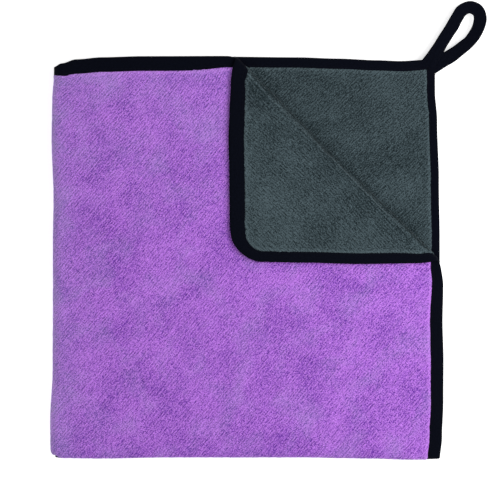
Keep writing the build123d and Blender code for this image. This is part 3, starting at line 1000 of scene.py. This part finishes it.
def fleece(name, deep, bright, ground_and_sheen, slant, sizes, sheen, bloom):
    """Napped coral fleece, knitted from split polyester and brushed.

    The nap gives it a matt face with a soft sheen where it is seen edge on, tufts in broken
    diagonal ribs, and lighter and darker strokes where the pile leans one way or the other.
    """
    material, tree = new_material(name)
    cloth = add_node(tree, "ShaderNodeUVMap", uv_map="cloth").outputs[0]
    # Millimetres on the open cloth, turned so that x runs along the ribs
    ribs = add_node(
        tree, "ShaderNodeMapping",
        {"Vector": cloth, "Rotation": (0, 0, -math.radians(slant)), "Scale": (1 / MM,) * 3},
    ).outputs[0]
    streaks = add_node(
        tree, "ShaderNodeMapping", {"Vector": ribs, "Scale": (1 / 3.6, 1 / sizes.rib, 1)}
    ).outputs[0]
    rows = add_node(tree, "ShaderNodeMapping", {"Vector": ribs, "Scale": (0.12, 1, 1)}).outputs[0]
    wave = add_node(
        tree, "ShaderNodeTexWave",
        {"Vector": rows, "Scale": WAVE_ONCE / sizes.rib, "Distortion": 5.0, "Detail": 2.0,
         "Detail Scale": 1.2},
        bands_direction="Y",
    ).outputs["Fac"]
    streak, clump, stroke, patch, thin = (
        add_node(
            tree, "ShaderNodeTexNoise",
            {"Vector": vector, "Scale": scale, "Detail": detail, "Roughness": rough,
             "Distortion": distortion},
        ).outputs[0]
        for vector, scale, detail, rough, distortion in (
            (streaks, 1.3, 2.0, 0.6, 0.5),  # broken streaks along the ribs
            (ribs, 1 / 0.9, 2.5, 0.65, 0.0),  # clumps of fibre, about a tuft across
            (ribs, 1 / 30, 3.0, 0.55, 0.6),  # strokes left by a hand, some centimetres across
            (ribs, 1 / 7.5, 2.0, 0.6, 0.0),  # patches about a fingertip across
            (ribs, 1 / 24, 3.0, 0.5, 0.4),  # where the pile is thin
        )
    )
    # From the roots' colour at 0 to the tips' at 1, about a middle of 0.42
    total = 0.42
    for value, share in ((streak, 1.6), (wave, 0.22), (clump, 3.75), (stroke, 0.85), (patch, 0.28)):
        spread = add_node(tree, "ShaderNodeMath", {0: value, 1: 0.5}, operation="SUBTRACT")
        total = add_node(
            tree, "ShaderNodeMath", {0: spread.outputs[0], 1: share, 2: total},
            operation="MULTIPLY_ADD",
        ).outputs[0]
    # Lighter pile tips by the tape, with the painted highlight along the crease's ridge and the
    # painted shade by the folds and the crease
    edge = add_node(tree, "ShaderNodeAttribute", attribute_name="pile_tips_and_painted_light").outputs["Fac"]
    total = add_node(
        tree, "ShaderNodeMath", {0: edge, 1: 0.35, 2: total}, operation="MULTIPLY_ADD"
    ).outputs[0]
    tint = add_node(
        tree, "ShaderNodeMix", {"Factor": total, MIX_A: tone(deep), MIX_B: tone(bright)},
        data_type="RGBA",
    ).outputs[MIX_OUT]
    # Paler where the pile is thin, in random patches, as the knit beneath shows. Round the wide
    # fold the same paler colour is painted sheen, and it is paler towards the far edge.
    thin = add_node(
        tree, "ShaderNodeMapRange",
        {"Value": thin, "From Min": 0.47, "From Max": 0.75, "To Max": bloom},
    ).outputs[0]
    sheen_and_paling = add_node(tree, "ShaderNodeAttribute", attribute_name="pile_sheen_and_paling").outputs["Fac"]
    sheen_and_paling = add_node(
        tree, "ShaderNodeMath", {0: sheen_and_paling, 1: 0.25, 2: thin}, operation="MULTIPLY_ADD"
    ).outputs[0]
    tint_with_sheen = add_node(
        tree, "ShaderNodeMix", {"Factor": sheen_and_paling, MIX_A: tint, MIX_B: tone(ground_and_sheen)},
        data_type="RGBA",
    ).outputs[MIX_OUT]
    tufts = streak
    for value, share in ((clump, 0.9), (wave, 0.35)):
        tufts = add_node(
            tree, "ShaderNodeMath", {0: value, 1: share, 2: tufts}, operation="MULTIPLY_ADD"
        ).outputs[0]
    bump = add_node(
        tree, "ShaderNodeBump", {"Height": tufts, "Strength": 0.9, "Distance": 1.4 * MM}
    ).outputs[0]
    shader = add_node(
        tree, "ShaderNodeBsdfPrincipled",
        {"Base Color": tint_with_sheen, "Roughness": 0.95, "Specular IOR Level": 0.15, "Normal": bump,
         "Sheen Weight": sheen, "Sheen Roughness": 0.45,
         "Sheen Tint": tone([0.75 + 0.25 * part for part in bright])},
    )
    add_node(tree, "ShaderNodeOutputMaterial", {"Surface": shader.outputs[0]})
    return material


def knitted_tape(name, tint):
    """Polyester binding tape, a fine flat knit: near black and matt, with a faint fine rib."""
    material, tree = new_material(name)
    cloth = add_node(tree, "ShaderNodeUVMap", uv_map="cloth").outputs[0]
    # The knit's rows are 0.5 mm apart, and are drawn at 0.9 mm so that they show
    row = 1 / (0.9 * MM)
    rows = add_node(
        tree, "ShaderNodeMapping", {"Vector": cloth, "Scale": (row, row, 1)}
    ).outputs[0]
    knit = add_node(
        tree, "ShaderNodeTexWave",
        {"Vector": rows, "Scale": WAVE_ONCE, "Distortion": 0.6, "Detail": 1.0},
        bands_direction="DIAGONAL",
    ).outputs["Fac"]
    lint = add_node(
        tree, "ShaderNodeTexNoise", {"Vector": rows, "Scale": 0.6, "Detail": 4.0}
    ).outputs[0]
    shade = add_node(
        tree, "ShaderNodeMix", {"Factor": lint, MIX_A: tone(tint, 0.4), MIX_B: tone(tint, 1.7)},
        data_type="RGBA",
    ).outputs[MIX_OUT]
    bump = add_node(
        tree, "ShaderNodeBump", {"Height": knit, "Strength": 0.35, "Distance": 0.2 * MM}
    ).outputs[0]
    shader = add_node(
        tree, "ShaderNodeBsdfPrincipled",
        {"Base Color": shade, "Roughness": 0.85, "Specular IOR Level": 0.02, "Normal": bump,
         "Sheen Weight": 0.01, "Sheen Roughness": 0.5},
    )
    add_node(tree, "ShaderNodeOutputMaterial", {"Surface": shader.outputs[0]})
    return material


def spun_thread(name, tint):
    """Spun polyester sewing thread: matt black, its twist showing as fine slanting ridges."""
    material, tree = new_material(name)
    place = add_node(tree, "ShaderNodeTexCoord").outputs["Object"]
    # One turn of the twist every 0.5 mm
    twist = add_node(
        tree, "ShaderNodeTexWave",
        {"Vector": place, "Scale": WAVE_ONCE / (0.5 * MM), "Distortion": 0.3},
        bands_direction="DIAGONAL",
    ).outputs["Fac"]
    shade = add_node(
        tree, "ShaderNodeMix", {"Factor": twist, MIX_A: tone(tint, 0.6), MIX_B: tone(tint, 1.5)},
        data_type="RGBA",
    ).outputs[MIX_OUT]
    bump = add_node(
        tree, "ShaderNodeBump", {"Height": twist, "Strength": 0.4, "Distance": 0.1 * MM}
    ).outputs[0]
    shader = add_node(
        tree, "ShaderNodeBsdfPrincipled",
        {"Base Color": shade, "Roughness": 0.7, "Specular IOR Level": 0.05, "Normal": bump},
    )
    add_node(tree, "ShaderNodeOutputMaterial", {"Surface": shader.outputs[0]})
    return material


def lit_floor(name, tint):
    """Opal acrylic lit faintly from beneath: plain white, with hardly a shadow on it."""
    material, tree = new_material(name)
    shader = add_node(
        tree, "ShaderNodeBsdfPrincipled",
        {"Base Color": tone(tint), "Roughness": 0.9, "Specular IOR Level": 0.1,
         "Emission Color": tone(tint), "Emission Strength": 0.5},
    )
    add_node(tree, "ShaderNodeOutputMaterial", {"Surface": shader.outputs[0]})
    return material


# Operators


PURPLE_SLANT, GREY_SLANT = -50.0, 44.0  # the ribs' direction on the open towel, in degrees
# Spacing of the plies' lattices: finer where a ply shows
COARSE_STEP = 1.6
FINE_STEPS = {
    ("top", True): 1.0, ("upper_inner", False): 1.25, ("flap", False): 0.75, ("flap", True): 1.0,
}


class TOWEL_OT_fleece(bpy.types.Operator):
    """Builds both plies of the five panels of cloth"""

    bl_idname = "towel.fleece"
    bl_label = "Fleece"

    def execute(self, context):
        colours = context.scene.towel_colours
        sizes = in_millimetres(context.scene.towel_sizes)
        purple = fleece(
            "brushed_coral_fleece_purple", colours.purple_deep, colours.purple_bright,
            colours.ground_and_sheen, PURPLE_SLANT, sizes, sheen=0.45, bloom=0.15,
        )
        grey = fleece(
            "brushed_coral_fleece_grey", colours.grey_deep, colours.grey_bright,
            colours.ground_and_sheen, GREY_SLANT, sizes, sheen=0.08, bloom=0.0,
        )
        for panel in PANELS:
            for is_purple, material in ((True, purple), (False, grey)):
                step = FINE_STEPS.get((panel.name, is_purple), COARSE_STEP)
                slant = PURPLE_SLANT if is_purple else GREY_SLANT
                make_fleece(panel, is_purple, step, sizes, material, slant)
        return {"FINISHED"}


class TOWEL_OT_edge_tape(bpy.types.Operator):
    """Binds the panels' free edges with tape and sews it on"""

    bl_idname = "towel.edge_tape"
    bl_label = "Edge Tape"

    def execute(self, context):
        colours = context.scene.towel_colours
        sizes = in_millimetres(context.scene.towel_sizes)
        tape = knitted_tape("knitted_polyester_tape_black", colours.tape)
        thread = spun_thread("spun_polyester_thread_black", colours.thread)
        for panel in PANELS:
            binding = make_tape(panel, sizes, tape)
            stitches = make_seam(panel, sizes, thread)
        return {"FINISHED"}


class TOWEL_OT_loop(bpy.types.Operator):
    """Builds the hanging loop and the stitches in it"""

    bl_idname = "towel.loop"
    bl_label = "Hanging Loop"

    def execute(self, context):
        sizes = in_millimetres(context.scene.towel_sizes)
        thread = bpy.data.materials["spun_polyester_thread_black"]
        loop = make_loop(sizes, bpy.data.materials["knitted_polyester_tape_black"])
        seams = make_loop_seams(sizes, thread)
        make_bar_tack(sizes, thread)
        return {"FINISHED"}


# The stage, in metres: its lights are (name, place, size, watts), aimed at the origin
FLOOR_SIZE, FLOOR_HEIGHT = 6.0, -0.0004
LIGHTS = (("key", (0.45, 0.06, 0.6), 0.5, 4.2), ("fill", (-0.5, -0.5, 1.0), 1.0, 2.6))
SKY_STRENGTH = 0.45
CAMERA_PLACE, CAMERA_LENS = (0.0031, 0.0054, 1.0927), 100


class TOWEL_OT_stage(bpy.types.Operator):
    """Lays the floor and sets the soft lights and the camera"""

    bl_idname = "towel.stage"
    bl_label = "Stage"

    def execute(self, context):
        scene = context.scene
        bpy.ops.object.select_all(action="DESELECT")
        bpy.ops.mesh.primitive_plane_add(size=FLOOR_SIZE, location=(0, 0, FLOOR_HEIGHT))
        floor = context.object
        floor.name = "floor"
        floor.data.materials.append(lit_floor("lit_opal_acrylic", scene.towel_colours.floor))
        for name, place, size, watts in LIGHTS:
            bpy.ops.object.light_add(type="AREA", location=place)
            light = context.object
            light.name = name
            light.data.size = size
            light.data.energy = watts
            light.rotation_euler = (Vector(place) * -1).to_track_quat("-Z", "Y").to_euler()
        scene.world = scene.world or bpy.data.worlds.new("studio")
        scene.world.use_nodes = True
        sky = scene.world.node_tree.nodes["Background"]
        sky.inputs["Color"].default_value = (1, 1, 1, 1)
        sky.inputs["Strength"].default_value = SKY_STRENGTH
        bpy.ops.object.camera_add(location=CAMERA_PLACE, rotation=(0, 0, 0))
        scene.camera = context.object
        scene.camera.data.lens = CAMERA_LENS
        scene.view_settings.view_transform = "Standard"
        return {"FINISHED"}


class TOWEL_PT_panel(bpy.types.Panel):
    """The towel's sizes, colours and operators"""

    bl_idname = "TOWEL_PT_panel"
    bl_label = "Quick Dry Towel"
    bl_space_type = "VIEW_3D"
    bl_region_type = "UI"
    bl_category = "Towel"

    def draw(self, context):
        for group in (context.scene.towel_sizes, context.scene.towel_colours):
            for name in group.__annotations__:
                self.layout.prop(group, name)
        for operator in STEPS:
            self.layout.operator(operator.bl_idname)


STEPS = (TOWEL_OT_fleece, TOWEL_OT_edge_tape, TOWEL_OT_loop, TOWEL_OT_stage)
CLASSES = (TowelSizes, TowelColours, *STEPS, TOWEL_PT_panel)


def register():
    for cls in CLASSES:
        bpy.utils.register_class(cls)
    bpy.types.Scene.towel_sizes = PointerProperty(type=TowelSizes)
    bpy.types.Scene.towel_colours = PointerProperty(type=TowelColours)


def unregister():
    del bpy.types.Scene.towel_sizes, bpy.types.Scene.towel_colours
    for cls in reversed(CLASSES):
        bpy.utils.unregister_class(cls)


def main():
    register()
    bpy.ops.towel.fleece()
    bpy.ops.towel.edge_tape()
    bpy.ops.towel.loop()
    bpy.ops.towel.stage()
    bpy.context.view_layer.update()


if __name__ == "__main__":
    main()
